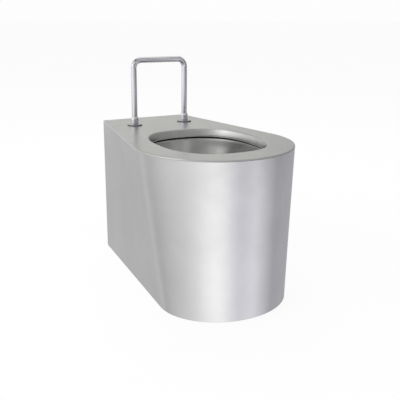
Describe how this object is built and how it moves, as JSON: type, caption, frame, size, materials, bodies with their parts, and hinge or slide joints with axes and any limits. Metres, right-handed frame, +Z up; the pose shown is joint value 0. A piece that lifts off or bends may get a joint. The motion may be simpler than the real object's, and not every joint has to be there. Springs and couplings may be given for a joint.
{
  "type": "floor-standing bedpan and toilet pan",
  "caption": "Floor-standing stainless steel ward pan: tapered closed casing, flat deck with an oval flushing-rim opening, and an upright tube rail at the back.",
  "frame": {"origin": "on the floor, midway across and midway between the wall face and the front of the casing", "axes": "+X to the right as seen from the front, +Y towards the wall, +Z up"},
  "size_m": [0.413, 0.634, 0.591],
  "materials": {
    "casing": "satin brushed stainless steel",
    "deck": "satin stainless steel",
    "bowl": "satin stainless steel",
    "rail": "polished stainless steel",
    "frame": "mill finish stainless steel",
    "fixings": "plain stainless steel",
    "rubber": "matt black"
  },
  "bodies": {
    "root": {"back_frame": "frame", "bowl": "bowl", "bowl_throat": "bowl", "casing_skirt": "casing", "channel_wall": "bowl", "deck_plate": "deck", "earth_nut": "fixings", "earth_stud": "fixings", "earth_tag": "fixings", "floor_screw_front_left": "fixings", "floor_screw_front_right": "fixings", "floor_screw_rear_left": "fixings", "floor_screw_rear_right": "fixings", "floor_washer_front_left": "fixings", "floor_washer_front_right": "fixings", "floor_washer_rear_left": "fixings", "floor_washer_rear_right": "fixings", "flush_deflector": "bowl", "flush_inlet_pipe": "frame", "flush_inlet_seal": "rubber", "foot_frame": "frame", "foot_rear_bar": "frame", "outlet_pipe": "frame", "outlet_seal": "rubber", "rail_backing_plate": "frame", "rail_gasket_left": "rubber", "rail_gasket_right": "rubber", "rail_grub_screw_left": "fixings", "rail_grub_screw_right": "fixings", "rail_hoop": "rail", "rail_nut_left": "fixings", "rail_nut_right": "fixings", "rail_rose_left": "rail", "rail_rose_right": "rail", "rail_socket_left": "rail", "rail_socket_right": "rail", "rail_stud_left": "fixings", "rail_stud_right": "fixings", "rail_washer_left": "fixings", "rail_washer_right": "fixings", "rim_collar": "deck", "saddle_crossbar": "frame", "trap_inlet_bend": "frame", "trap_rising_bend": "frame", "trap_saddle": "frame", "trap_upper_bend": "frame"}
  },
  "joints": []
}
